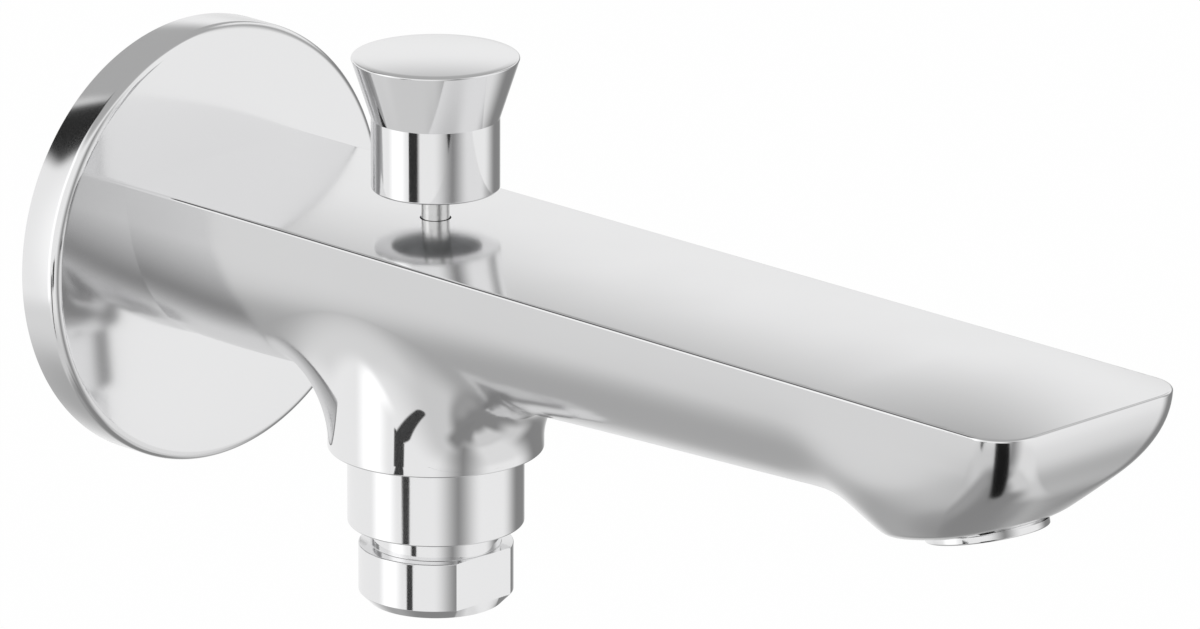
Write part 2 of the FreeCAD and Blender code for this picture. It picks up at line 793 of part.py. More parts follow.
def make_aerator():
    """The aerator, from its housing in the outlet's thread to the washer that seals it."""
    inner = "aerator_thread_radius - aerator_wall"
    rim = "-aerator_proud"
    top = "aerator_depth - aerator_washer_thickness"
    housing = turned("housing", [
        ("aerator_mouth_radius + aerator_mouth_chamfer", rim), ("aerator_ring_radius", rim),
        ("aerator_ring_radius", "0"), ("aerator_thread_radius", "0"),
        ("aerator_thread_radius", top), (inner, top), (inner, "0"), ("aerator_mouth_radius", "0"),
        ("aerator_mouth_radius", rim + " + aerator_mouth_chamfer")])
    on_outlet(housing)
    node(housing, "aerator_housing")
    fill = "aerator_thread_radius - aerator_wall - running_gap"
    grid_top = "grid_thickness"
    cup_top = grid_top + " + cup_height"
    plate_top = cup_top + " + jet_plate_thickness"
    node(pierced_disc("grid", fill, "0", "grid"), "flow_grid")
    cup = turned("cup", flat_ring(fill + " - cup_wall", fill, grid_top, cup_top))
    on_outlet(cup)
    node(cup, "aerator_cup")
    plate = turned("plate", [("0", cup_top), (fill, cup_top), (fill, plate_top), ("0", plate_top)])
    drill_jets(plate)
    on_outlet(plate)
    node(plate, "jet_plate")
    node(pierced_disc("screen", fill, plate_top, "screen"), "filter_screen")
    washer = turned("aerator_ring", flat_ring("aerator_thread_radius - aerator_washer_width",
                                              "aerator_thread_radius", top, "aerator_depth"))
    on_outlet(washer)
    node(washer, "aerator_washer")


def drill_jets(plate):
    """A ring of small holes through the jet plate."""
    sketch = plate.newObject("Sketcher::SketchObject", "jet")
    sketch.AttachmentSupport = [(origin_plane(plate, "XY_Plane"), "")]
    sketch.MapMode = "FlatFace"
    sketch.addGeometry(Part.Circle(Vector(1, 0, 0), Vector(0, 0, 1), 1), False)
    for name, values, text in (("Radius", (0, 1.0), "jet_radius"),
                               ("DistanceX", (0, 3, 1.0), "jet_circle_radius")):
        index = sketch.addConstraint(Sketcher.Constraint(name, *values))
        sketch.renameConstraint(index, name)
        sketch.setExpression("Constraints." + name, formula(text))
    sketch.addConstraint(Sketcher.Constraint("PointOnObject", 0, 3, -1))
    pocket = plate.newObject("PartDesign::Pocket", "jet_hole")
    pocket.Profile = sketch
    pocket.Type = "ThroughAll"
    pocket.Midplane = True
    pattern = plate.newObject("PartDesign::PolarPattern", "jet_ring")
    pattern.Originals = [pocket]
    pattern.Axis = (sketch, ["N_Axis"])
    pattern.Angle = 360
    pattern.setExpression("Occurrences", formula("jet_count"))
    plate.Tip = pattern
    doc.recompute()


def check_document():
    """Stop if any object failed or any piece is not a sound solid."""
    for thing in doc.Objects:
        if "Invalid" in thing.State or "Error" in thing.State:
            raise RuntimeError(f"{thing.Label} failed")
    for piece in nodes:
        shape = piece.Shape
        if shape.isNull() or not shape.isValid() or not shape.Solids:
            raise RuntimeError(f"{piece.Label} is not a valid solid")


def write_parts():
    """Write each piece to its own file."""
    os.makedirs("parts", exist_ok=True)
    for piece in nodes:
        piece.Shape.exportStep(f"parts/{piece.Label}.step")
        print(piece.Label, round(piece.Shape.Volume, 1))


fill_sheet()
make_spout_body()
make_flange()
make_inlet_washer()
make_guide()
make_knob()
make_valve()
make_adapter()
make_connector()
make_aerator()
doc.recompute()
check_document()
write_parts()
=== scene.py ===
import json
import math
from functools import partial

import bmesh
import bpy
import numpy as np
from mathutils import Matrix


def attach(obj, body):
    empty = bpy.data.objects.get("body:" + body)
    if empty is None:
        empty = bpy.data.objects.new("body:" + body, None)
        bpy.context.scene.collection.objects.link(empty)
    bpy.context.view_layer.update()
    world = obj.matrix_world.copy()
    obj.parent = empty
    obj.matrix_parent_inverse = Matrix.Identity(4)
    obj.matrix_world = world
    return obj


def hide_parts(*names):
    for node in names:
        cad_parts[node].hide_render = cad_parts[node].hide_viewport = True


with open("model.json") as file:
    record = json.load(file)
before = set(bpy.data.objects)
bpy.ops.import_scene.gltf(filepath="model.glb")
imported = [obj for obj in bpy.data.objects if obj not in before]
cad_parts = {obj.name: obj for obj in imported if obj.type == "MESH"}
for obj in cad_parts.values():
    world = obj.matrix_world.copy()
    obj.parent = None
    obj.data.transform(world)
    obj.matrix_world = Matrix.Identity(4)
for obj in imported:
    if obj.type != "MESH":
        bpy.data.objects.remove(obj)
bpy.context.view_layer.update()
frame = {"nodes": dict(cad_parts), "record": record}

# Lengths are in millimetres until a mesh is made, and the frame is the CAD's:
# -Y along the spout, +Z up, the origin at the wall socket's mouth.
MM = 0.001
FIT_GAP = 0.1
RUNNING_GAP = 0.05

# The cast body.
HALF_WIDTH = 22.9
TOP = 15.55
REACH = 218.4
NOSE_LENGTH = 18.5
NOSE_DEPTH = 20.4
NOSE_SWEEP = math.radians(44.0)
NOSE_CORNER = 7.6
RIM_ROUND = 1.6
EDGE_ROUND = 0.5
CROWN = 0.8
CROWN_FADES = 40.0

# The keel: distance from the wall and depth below the top, at the stations that shape it.
WAIST = REACH - 58.4
KEEL_STATIONS = [
    (0, 31.9), (WAIST / 2, 28.7), (WAIST, 24.8), (REACH - 46.4, 25.7), (REACH - 34.4, 31.2),
    (REACH - 18.4, 27.2), (REACH + EDGE_ROUND + NOSE_CORNER, 21.7)]

# How the normals depart from the form's. The sides lean under by some degrees below the top edge
# and less than the form at mid height, most towards the nose, and the top slopes to its sides.
SIDE_LEAN = 8.6
LEAN_FADES = 7.0
SIDE_FULLER = (1.0, 5.5)
FULLER_GROWS = (120, 195)
FULLER_DEPTH = 13
FULLER_SPREAD = 5
TOP_SLOPE = 2.8

# Spacing of the body's sections: degrees round the nose's ellipse, then millimetres.
FIRST_SECTION = 2.2
NOSE_SECTIONS = 58
SWOOP_STEP = 0.6
PLAIN_STEP = 2.6

# How a section's points are found, on rays from its middle, and spaced.
UNDERSIDE_SCAN = (-25, 15, 400)
RAY_REACH = 1.8
HALVINGS = 34
FIRST_RAYS = 1400
LENGTH_SHARE = 0.55

# Edges are sharp above an angle, and an eased corner has a point every few degrees.
SHARP_ANGLE = math.radians(20)
CORNER_STEP = 9

# A face takes the form's normals where its own lies along them, by the cosine between the two. The
# top's edge is marked between two fades of the normal's height.
ALONG_FORM = 0.8
EDGE_FADES = ((0.02, 0.12), (0.9995, 0.996))

# The small step for the slopes of a form.
FORM_STEP = 0.02

# How far a cutter reaches past the face that it opens.
CUT_PAST = 2

# The diverter's boss and its blend into the body.
AXIS_Y = -63.35
BOSS_RADIUS = 19.0
BOSS_FOOT = -25.2
BLEND_LEAST = 4.0
BLEND_MOST = 34.0
BLEND_FOOT = -24.5
BLEND_HALVINGS = 24
NEWTON_STEPS = 14
ARC_STEPS = 32

# Small steps along the keel and round it, for slopes.
BEND_STEP = 0.05
Y_STEP = 1e-3
TURN_STEP = 1e-4

# The boss is glossier than the body, which fades by the distance from its axis and by height.
BOSS_GLOSS_ROUND = (29, 21)
BOSS_GLOSS_UP = (-2, -12)

# The tail behind the flange, with its wall socket and the inlet bore.
TAIL_RADIUS = 13.5
TAIL_END = 12.6
TAIL_RING = 4.9
GROOVE_WIDTH = 1.6
GROOVE_DEPTH = 1.4
SOCKET_RADIUS = 9.32
SOCKET_LENGTH = 12
SOCKET_CHAMFER = 0.6
WASHER_SEAT = 9.9
WASHER_THICKNESS = 2
INLET_RADIUS = 4.4
INLET_WALL = 0.5
INLET_DROP = 3
INLET_LENGTH = 40

# The wall flange.
FLANGE_RADIUS = 40
FLANGE_THICKNESS = 8.6
FLANGE_WALL = 1.5
FLANGE_ROUND = 1.85
COLLAR_WALL = 2
COLLAR_START = 2.5

# The outlet adapter under the boss.
ADAPTER_RADIUS = 15.55
ADAPTER_FOOT = BOSS_FOOT - 13.75
ADAPTER_BORE = 6.3
ADAPTER_THREAD = 13
ADAPTER_TOP = BOSS_FOOT + 8.7
ADAPTER_GROOVE = ADAPTER_TOP - 1.6
SEAT_WIDTH = 1.7
SEAT_HEIGHT = 0.8

# The hose connector under the adapter.
CONNECTOR_RADIUS = 13.65
CONNECTOR_NECK = 11.5
CONNECTOR_THREAD = 10.5
CONNECTOR_THREAD_LENGTH = 8
CONNECTOR_WASHER = 1.5
CONNECTOR_BORE = 6.8
CONNECTOR_SHOULDER = ADAPTER_FOOT - 3.9
CONNECTOR_FOOT = CONNECTOR_SHOULDER - 10.4
CONNECTOR_CHAMFER = 1.8
FLATS = 11.95
HOSE_THREAD = 9.32
HOSE_THREAD_LENGTH = 8
HOSE_MOUTH = 9.9
HOSE_WASHER_SEAT = 9.8

# The outlet under the nose and the aerator's ring.
OUTLET_TILT = math.radians(13.2)
OUTLET = (24.3 - REACH, -8.9)
AERATOR_PROUD = 1.2
AERATOR_RING = 10.5
AERATOR_THREAD = 9.9
AERATOR_WALL = 0.95
AERATOR_DEPTH = 10.3
AERATOR_SLEEVE = AERATOR_DEPTH - WASHER_THICKNESS
MOUTH_RADIUS = 8.3
MOUTH_CHAMFER = 0.5
RISER_RADIUS = 7.4
RISER_TOP = AERATOR_DEPTH + 7.5

# The knob and the rod.
KNOB_RADIUS = 11.25
KNOB_FOOT = TOP + 6.25
KNOB_WAIST = KNOB_FOOT + 12.8
KNOB_TOP = KNOB_WAIST + 10.85
KNOB_TOP_RADIUS = 14.75
KNOB_DOME = 0.5
KNOB_DOME_RADIUS = 14.3
KNOB_DOME_STEPS = 12
RECESS_RADIUS = 8
RECESS_TOP = KNOB_FOOT + 3
# A grey piece fills the knob's recess. It is painted shade, standing in for the dark of the hollow
# inside the knob.
RECESS_SHADE_LIP = 0.4
RECESS_SHADE_TAPER = 0.8
RECESS_SHADE_FOOT = KNOB_FOOT + 0.3
RECESS_SHADE_FLOOR = RECESS_TOP - 0.5
RECESS_SHADE_TOP = RECESS_TOP + 0.1
ROD_RADIUS = 2.5
ROD_TOP = KNOB_FOOT + 11
ROD_HOLE = 2.75
ROD_THREAD = 2
ROD_SHOULDER = -5.25
ROD_END = -21
CROWN_WALL = 1.65


def spline_basis(knots, u, degree=3):
    """The B-splines of a knot list at places u, built up by degree: one row for each place."""
    u = np.minimum(u, knots[-1] - 1e-9)[:, None]
    basis = ((knots[:-1] <= u) & (u < knots[1:])).astype(float)
    for d in range(1, degree + 1):
        rise = knots[d:-1] - knots[:-d - 1]
        fall = knots[d + 1:] - knots[1:-d]
        left = (u - knots[:-d - 1]) / np.where(rise > 0, rise, 1) * (rise > 0)
        right = (knots[d + 1:] - u) / np.where(fall > 0, fall, 1) * (fall > 0)
        basis = left * basis[:, :-1] + right * basis[:, 1:]
    return basis


def curve_through(stations, count):
    """Points of the cubic spline through stations. Its parameter is the length of the chords, and
    at each end it has the slope of the cubic through the nearest four stations."""
    stations = np.array(stations)
    at = np.append(0, np.cumsum(np.hypot(*np.diff(stations, axis=0).T)))
    knots = np.concatenate([[0] * 4, at[1:-1], [at[-1]] * 4])
    first, last = np.zeros(len(at) + 2), np.zeros(len(at) + 2)
    first[:2] = np.array([-3, 3]) / at[1]
    last[-2:] = np.array([-3, 3]) / (at[-1] - at[-2])
    slopes = []
    for end, four in ((0, slice(4)), (-1, slice(-4, None))):
        cubic = np.polyfit(at[four] - at[end], stations[four], 3)
        slopes.append(cubic[-2])
    basis = spline_basis(knots, at)
    basis[-1] = np.eye(len(at) + 2)[-1]
    controls = np.linalg.solve(np.vstack([basis, first, last]), np.vstack([stations, slopes]))
    return spline_basis(knots, np.linspace(0, at[-1], count)) @ controls


KEEL_POINTS = 6001
KEEL = curve_through(KEEL_STATIONS, KEEL_POINTS)


def keel_depth(y):
    """Depth of the keel below the flat top at a place along the spout."""
    return np.interp(-y, KEEL[:, 0], KEEL[:, 1])


def rounded_both(f, g, r):
    """Inside both forms, with the edge between them rounded to radius r."""
    return np.minimum(np.maximum(f, g), -r) + np.hypot(np.maximum(f + r, 0), np.maximum(g + r, 0))


def front_form(y, z):
    """Distance outside the front face: a quarter ellipse in side view, then its tangent line."""
    ahead = (NOSE_LENGTH - REACH - y) / NOSE_LENGTH
    under = ((TOP - z) / NOSE_DEPTH).clip(0)
    q = np.hypot(ahead, under) + 1e-9
    curve = (q - 1) * q / (np.hypot(ahead / NOSE_LENGTH, under / NOSE_DEPTH) + 1e-9 / NOSE_LENGTH)
    normal = np.array([-NOSE_DEPTH * math.cos(NOSE_SWEEP), -NOSE_LENGTH * math.sin(NOSE_SWEEP)])
    normal /= np.hypot(*normal)
    start = (NOSE_LENGTH * (1 - math.cos(NOSE_SWEEP)) - REACH,
             TOP - NOSE_DEPTH * math.sin(NOSE_SWEEP))
    line = (y - start[0]) * normal[0] + (z - start[1]) * normal[1]
    return np.where(np.arctan2(under, ahead) < NOSE_SWEEP, curve, line)


def smooth_step(value, start, end):
    """0 at start, 1 at end, smooth between."""
    t = ((value - start) / (end - start)).clip(0, 1)
    return t * t * (3 - 2 * t)


def crown(x, y):
    """How far the top stands above its side edges: a parabola across, fading out at the nose."""
    return CROWN * (1 - (x / HALF_WIDTH) ** 2).clip(0) * crown_share(y)


def crown_share(y):
    """0 at the nose's tip and 1 behind the fade, eased between."""
    return smooth_step(y + REACH, 0, CROWN_FADES)


def casting_form(x, y, z):
    """Distance outside the spout's body: half-elliptical sections within the front face, above the
    tilted outlet face and under the slightly crowned top, with each edge rounded."""
    across = x / HALF_WIDTH
    depth = keel_depth(y)
    down = (TOP - z) / depth
    q = np.hypot(across, down) + 1e-9
    sides = (q - 1) * q / np.hypot(across / HALF_WIDTH, down / depth).clip(1e-9)
    form = rounded_both(sides, front_form(y, z), NOSE_CORNER)
    outlet = -((y - OUTLET[0]) * math.sin(OUTLET_TILT) + (z - OUTLET[1]) * math.cos(OUTLET_TILT))
    form = rounded_both(form, outlet, RIM_ROUND)
    return rounded_both(form, z - TOP - crown(x, y), EDGE_ROUND)


def slope(form, p):
    """Unit outward normals of a form at points, from its differences over a small step."""
    steps = np.eye(3) * FORM_STEP
    g = np.stack([form(*(p + s).T) - form(*(p - s).T) for s in steps], axis=-1)
    return g / np.linalg.norm(g, axis=-1, keepdims=True).clip(1e-12)


def side_tilt(y, z):
    """Degrees by which the sides lean under more than the half ellipse does: under the top edge,
    and less than it at mid height, mostly towards the nose."""
    down = TOP - z
    least, most = SIDE_FULLER
    fuller = least + (most - least) * smooth_step(-y, *FULLER_GROWS)
    return (SIDE_LEAN * (1 - down / LEAN_FADES).clip(0)
            - fuller * np.exp(-((down - FULLER_DEPTH) / FULLER_SPREAD) ** 2))


def casting_normals(p):
    """The body's normals. The top keeps its slope across where the crown itself fades out, and the
    sides are a little straighter than half ellipses."""
    n = slope(casting_form, p)
    n[:, 0] += (TOP_SLOPE * CROWN * p[:, 0] / HALF_WIDTH ** 2 * (1 - crown_share(p[:, 1]))
                * n[:, 2].clip(0) ** 8)
    level = np.hypot(n[:, 0], n[:, 1]).clip(1e-9)
    side = (np.abs(n[:, 0]) / level) ** 2 * smooth_step(n[:, 2], 0.3, 0.0)
    tilt = np.radians(side_tilt(p[:, 1], p[:, 2])) * side
    wider = (np.cos(tilt) + n[:, 2] / level * np.sin(tilt))[:, None]
    lower = n[:, 2] * np.cos(tilt) - level * np.sin(tilt)
    n = np.concatenate([n[:, :2] * wider, lower[:, None]], axis=1)
    return n / np.linalg.norm(n, axis=-1, keepdims=True)


def section_rows():
    """Places of the sections along the spout: close together at the nose, closest at its tip."""
    swing = np.radians(np.linspace(FIRST_SECTION, 90, NOSE_SECTIONS))
    tip = NOSE_LENGTH * (1 - np.cos(swing)) - REACH
    swoop = np.arange(NOSE_LENGTH - REACH, -WAIST, SWOOP_STEP)
    plain = np.arange(-WAIST, -FLANGE_THICKNESS, PLAIN_STEP)
    return np.unique(np.round(np.concatenate([tip, swoop, plain, [-FLANGE_THICKNESS]]), 6))


def half_sections(y, around=150):
    """Right halves of the sections at places y: from the middle of the underside to the middle of
    the top. Each point lies on a ray from inside the section, where the form crosses zero. A first
    pass over many rays spaces the final ones by length and by turning."""
    tip = np.maximum(EDGE_ROUND - (y + REACH), 0)
    top = TOP - EDGE_ROUND + np.sqrt((EDGE_ROUND ** 2 - tip ** 2).clip(0))
    low = np.linspace(*UNDERSIDE_SCAN)[None, :]
    zeros = np.zeros_like(low) + np.zeros_like(y)[:, None]
    inside = casting_form(zeros, zeros + y[:, None], zeros + low) < 0
    bottom = np.where(inside.any(1), low[0][inside.argmax(1)], top - 0.3)
    corner = np.maximum(NOSE_CORNER - (y + REACH), 0)
    width = HALF_WIDTH - NOSE_CORNER + np.sqrt((NOSE_CORNER ** 2 - corner ** 2).clip(0))
    middle, height = (top + bottom) / 2, (top - bottom) / 2

    def on_rays(angle):
        near, far = np.zeros_like(angle), np.full_like(angle, RAY_REACH)
        dx, dz = width[:, None] * np.cos(angle), height[:, None] * np.sin(angle)
        for _ in range(HALVINGS):
            half = (near + far) / 2
            out = casting_form(dx * half, zeros[:, :1] + y[:, None] + 0 * dx,
                               middle[:, None] + dz * half) > 0
            near, far = np.where(out, near, half), np.where(out, half, far)
        return np.stack([dx * near, y[:, None] + 0 * dx, middle[:, None] + dz * near], axis=-1)

    many = np.linspace(-math.pi / 2, math.pi / 2, FIRST_RAYS)
    many = np.broadcast_to(many, (len(y), FIRST_RAYS))
    steps = np.diff(on_rays(many), axis=1)
    length = np.linalg.norm(steps, axis=-1)
    turn = np.abs(np.diff(np.unwrap(np.arctan2(steps[..., 2], steps[..., 0]), axis=1), axis=1))
    turn = np.pad(turn, ((0, 0), (0, 1)))
    share = length / length.sum(1, keepdims=True) * LENGTH_SHARE
    share += turn / turn.sum(1, keepdims=True).clip(1e-9) * (1 - LENGTH_SHARE)
    total = np.pad(np.cumsum(share, axis=1), ((0, 0), (1, 0)))
    total /= total[:, -1:]
    even = np.linspace(0, 1, around)
    angle = np.stack([np.interp(even, t, m) for t, m in zip(total, many)])
    angle[:, 0], angle[:, -1] = -math.pi / 2, math.pi / 2
    return on_rays(angle)


def make_piece(name, points, faces):
    """A mesh object from points in millimetres and faces, turned outwards, with its coincident
    points merged and its sharp edges marked."""
    mesh = bpy.data.meshes.new(name)
    mesh.from_pydata(points * MM, [], faces)
    piece = bpy.data.objects.new(name, mesh)
    bpy.context.scene.collection.objects.link(piece)
    merge_and_turn_out(mesh)
    mesh.shade_smooth()
    mesh.set_sharp_from_angle(angle=SHARP_ANGLE)
    return piece


def merge_and_turn_out(mesh):
    """Merge coincident points, drop empty faces and point every face outwards."""
    work = bmesh.new()
    work.from_mesh(mesh)
    bmesh.ops.remove_doubles(work, verts=work.verts, dist=1e-7)
    bmesh.ops.dissolve_degenerate(work, edges=work.edges, dist=1e-8)
    bmesh.ops.recalc_face_normals(work, faces=work.faces)
    work.to_mesh(mesh)
    work.free()


def places(mesh):
    """A mesh's points in millimetres."""
    points = np.empty(len(mesh.vertices) * 3)
    mesh.vertices.foreach_get("co", points)
    return points.reshape(-1, 3) / MM


def mark(mesh, attribute, values):
    """Store a number at each point of a mesh, for its material."""
    mesh.attributes.new(attribute, "FLOAT", "POINT").data.foreach_set("value", values)


def grid_faces(rows, columns, wrap_rows=False, wrap_columns=True):
    """Four-sided faces between neighbouring points of a grid."""
    r = np.arange(rows if wrap_rows else rows - 1)[:, None]
    c = np.arange(columns if wrap_columns else columns - 1)[None, :]
    r2, c2 = (r + 1) % rows, (c + 1) % columns
    quads = [r * columns + c, r * columns + c2, r2 * columns + c2, r2 * columns + c]
    return np.stack(quads, axis=-1).reshape(-1, 4).tolist()


class Axis:
    """An axis that turned pieces are laid on: across, other and along are unit vectors."""

    def __init__(self, origin, along, across=(1, 0, 0)):
        self.origin = np.array(origin, float)
        self.along = np.array(along, float)
        self.across = np.array(across, float)
        self.other = np.cross(self.along, self.across)

    def ring(self, radius, height, angle):
        """Points at radius and angle about the axis, and height along it."""
        radius, height = np.asarray(radius, float)[..., None], np.asarray(height, float)[..., None]
        angle = np.asarray(angle)[..., None]
        return (self.origin + height * self.along
                + radius * (np.cos(angle) * self.across + np.sin(angle) * self.other))


WALL_AXIS = Axis((0, 0, 0), (0, -1, 0))
LIFT_AXIS = Axis((0, AXIS_Y, 0), (0, 0, 1))
OUTLET_AXIS = Axis((0, *OUTLET), (0, math.sin(OUTLET_TILT), math.cos(OUTLET_TILT)))


def eased(corners, closed):
    """A profile whose corners (radius, height, rounding) become arcs tangent to both sides."""
    points = np.array([c[:2] for c in corners], float)
    rounds = [c[2] if len(c) > 2 else 0 for c in corners]
    out = []
    for i, (p, r) in enumerate(zip(points, rounds)):
        if r == 0 or (not closed and i in (0, len(points) - 1)):
            out.append(p[None])
            continue
        a, b = points[i - 1] - p, points[(i + 1) % len(points)] - p
        a, b = a / np.hypot(*a), b / np.hypot(*b)
        half = math.acos(np.clip(a @ b, -1, 1)) / 2
        start, end = p + a * r / math.tan(half), p + b * r / math.tan(half)
        middle = p + (a + b) / np.hypot(*(a + b)) * r / math.sin(half)
        swing = math.pi - 2 * half
        t = np.linspace(0, 1, max(4, int(math.degrees(swing) / CORNER_STEP)) + 1)[:, None]
        arc = (np.sin((1 - t) * swing) * (start - middle) + np.sin(t * swing) * (end - middle))
        out.append(middle + arc / math.sin(swing))
    return np.concatenate(out)


def turned(name, axis, corners, around=192, closed=True):
    """A turned surface: an eased profile of radius and height carried round an axis."""
    profile = eased(corners, closed)
    angle = np.linspace(0, 2 * math.pi, around, endpoint=False)
    points = axis.ring(profile[:, :1], profile[:, 1:], angle[None, :])
    faces = grid_faces(len(profile), around, wrap_rows=closed)
    return make_piece(name, points.reshape(-1, 3), faces)


def casting_piece():
    """The body's outside: sections side by side, closed by a flat cap at each end."""
    y = section_rows()
    right = half_sections(y)
    left = right[:, -2:0:-1] * (-1, 1, 1)
    rings = np.concatenate([right, left], axis=1)
    count = rings.shape[1]
    faces = grid_faces(len(y), count)
    faces.append(list(range(count)))
    faces.append(list(range((len(y) - 1) * count, len(y) * count)))
    return make_piece("casting", rings.reshape(-1, 3), faces)


def cut_hole(piece, name, axis, corners):
    """Take a turned form out of a piece."""
    tool = turned(name, axis, corners, around=96, closed=False)
    cutter = piece.modifiers.new(name, "BOOLEAN")
    cutter.operation = "DIFFERENCE"
    cutter.solver = "MANIFOLD"
    cutter.object = tool
    graph = bpy.context.evaluated_depsgraph_get()
    made = bpy.data.meshes.new_from_object(piece.evaluated_get(graph))
    piece.modifiers.clear()
    piece.data = made
    bpy.data.objects.remove(tool)


def follow_form(piece, form_normals):
    """Give each face's corners the form's own normals wherever the face lies along the form, and
    mark the top's rounded edge, where the normal is neither level nor upright."""
    mesh = piece.data
    mesh.shade_smooth()
    points = places(mesh)
    normals = form_normals(points)
    corner = np.empty(len(mesh.loops), int)
    mesh.loops.foreach_get("vertex_index", corner)
    sides = np.empty(len(mesh.polygons), int)
    mesh.polygons.foreach_get("loop_total", sides)
    flat = np.empty(len(mesh.polygons) * 3)
    mesh.polygons.foreach_get("normal", flat)
    flat = np.repeat(flat.reshape(-1, 3), sides, axis=0)
    near = normals[corner]
    along = (near * flat).sum(1, keepdims=True) > ALONG_FORM
    mesh.normals_split_custom_set(np.where(along, near, flat))
    edge = np.minimum(*(smooth_step(normals[:, 2], *fade) for fade in EDGE_FADES))
    mark(mesh, "edge", edge * (points[:, 2] > TOP - 2 * EDGE_ROUND))


def rolling_ball(angle, blend):
    """Where a ball of radius blend rests between the boss and the keel, for each angle about the
    boss. It touches the keel at (y, turn), found by Newton's steps on the keel moved outwards by
    the radius. Returns its centre and the keel's normal there."""
    far = BOSS_RADIUS + blend
    target = np.stack([far * np.cos(angle), AXIS_Y + far * np.sin(angle)])
    y = target[1].copy()
    turn = np.arccos(np.clip(target[0] / (HALF_WIDTH + blend), -1, 1))

    def offset(y, turn):
        depth = keel_depth(y)
        bend = (keel_depth(y + BEND_STEP) - keel_depth(y - BEND_STEP)) / (2 * BEND_STEP)
        n = np.stack([np.cos(turn) / HALF_WIDTH, -np.sin(turn) ** 2 * bend / depth,
                      -np.sin(turn) / depth])
        n /= np.linalg.norm(n, axis=0)
        at = np.stack([HALF_WIDTH * np.cos(turn), y, TOP - depth * np.sin(turn)])
        return at + blend * n, n

    for _ in range(NEWTON_STEPS):
        here = offset(y, turn)[0][:2]
        miss = here - target
        by_y = (offset(y + Y_STEP, turn)[0][:2] - here) / Y_STEP
        by_turn = (offset(y, turn + TURN_STEP)[0][:2] - here) / TURN_STEP
        det = by_y[0] * by_turn[1] - by_y[1] * by_turn[0]
        y = y - (miss[0] * by_turn[1] - miss[1] * by_turn[0]) / det
        turn = turn - (by_y[0] * miss[1] - by_y[1] * miss[0]) / det
    return offset(y, turn)


def blend_balls(angle):
    """The blend's radius at each angle is the one whose ball touches the boss at its foot, eased
    into the greatest allowed. Returns the radii, the balls' centres and the keel's normals."""
    small, large = np.full_like(angle, BLEND_LEAST), np.full_like(angle, 3 * BLEND_MOST)
    for _ in range(BLEND_HALVINGS):
        middle = (small + large) / 2
        above = rolling_ball(angle, middle)[0][2] > BLEND_FOOT
        small, large = np.where(above, middle, small), np.where(above, large, middle)
    small = (small ** -4 + BLEND_MOST ** -4) ** -0.25
    return (small, *rolling_ball(angle, small))


def boss_piece(around=256):
    """The boss under the body and its blend. Its rows are circles up the boss, then arcs of the
    rolling ball from the boss to the keel, then rows inside the body that close it."""
    angle = np.linspace(0, 2 * math.pi, around, endpoint=False)
    blend, centres, normals = blend_balls(angle)
    centres, normals = centres.T, normals.T
    inward = np.stack([-np.cos(angle), -np.sin(angle), 0 * angle], axis=-1)
    swing = np.arccos(np.clip((inward * -normals).sum(1), -1, 1))[:, None]
    rows = []
    bore = ADAPTER_THREAD + FIT_GAP
    for radius, height in eased([(bore, BOSS_FOOT), (BOSS_RADIUS, BOSS_FOOT, 0.3),
                                 (BOSS_RADIUS, BOSS_FOOT + 2)], False):
        rows.append(LIFT_AXIS.ring(radius, height, angle))
    for t in np.linspace(0, 1, ARC_STEPS + 1):
        arc = (np.sin((1 - t) * swing) * inward + np.sin(t * swing) * -normals) / np.sin(swing)
        rows.append(centres + blend[:, None] * arc)
    ends = rows[-1]
    heart = np.array([0, AXIS_Y, 0.0])
    rows.append(heart + (ends - heart) * 0.9)
    rows.append(LIFT_AXIS.ring(bore, 0, angle))
    points = np.stack(rows)
    piece = make_piece("boss", points.reshape(-1, 3), grid_faces(len(rows), around, wrap_rows=True))
    x, y, z = places(piece.data).T
    round_the_boss = smooth_step(np.hypot(x, y - AXIS_Y), *BOSS_GLOSS_ROUND)
    mark(piece.data, "edge", round_the_boss * smooth_step(z, *BOSS_GLOSS_UP))
    return piece


def ring_groove(radius, middle, way):
    """Corners of an O-ring's groove in a turned wall, rising along the axis (1) or falling (-1)."""
    root, half = radius - GROOVE_DEPTH, way * GROOVE_WIDTH / 2
    return [(radius, middle - half), (root, middle - half), (root, middle + half),
            (radius, middle + half)]


def connector_piece():
    """The hose connector: a turned form whose wide part is cut by two flats. Its radius at each
    angle is the profile's, or the flats' distance over the sine of the angle where that is less."""
    top = ADAPTER_FOOT + CONNECTOR_THREAD_LENGTH
    foot = CONNECTOR_FOOT
    thread_end = foot + HOSE_THREAD_LENGTH
    seat = thread_end + WASHER_THICKNESS
    profile = eased([
        (CONNECTOR_BORE, top, 0.2), (CONNECTOR_BORE, seat), (HOSE_WASHER_SEAT, seat),
        (HOSE_WASHER_SEAT, thread_end), (HOSE_THREAD, thread_end),
        (HOSE_THREAD, foot + SOCKET_CHAMFER), (HOSE_MOUTH, foot),
        (CONNECTOR_RADIUS - CONNECTOR_CHAMFER, foot, 0.15),
        (CONNECTOR_RADIUS, foot + CONNECTOR_CHAMFER, 0.15),
        (CONNECTOR_RADIUS, CONNECTOR_SHOULDER, 0.25), (CONNECTOR_NECK, CONNECTOR_SHOULDER, 0.15),
        (CONNECTOR_NECK, ADAPTER_FOOT), (CONNECTOR_THREAD, ADAPTER_FOOT),
        (CONNECTOR_THREAD, top, 0.3)], True)
    edge = math.asin(FLATS / CONNECTOR_RADIUS)
    marks = [edge, math.pi - edge, math.pi + edge, 2 * math.pi - edge]
    angle = np.sort(np.append(np.linspace(0, 2 * math.pi, 320, endpoint=False), marks))
    flat = FLATS / np.abs(np.sin(angle)).clip(1e-6)
    radius = np.minimum(profile[:, :1], flat[None])
    points = LIFT_AXIS.ring(radius, profile[:, 1:], angle[None, :])
    faces = grid_faces(len(profile), len(angle), wrap_rows=True)
    return make_piece("connector", points.reshape(-1, 3), faces)


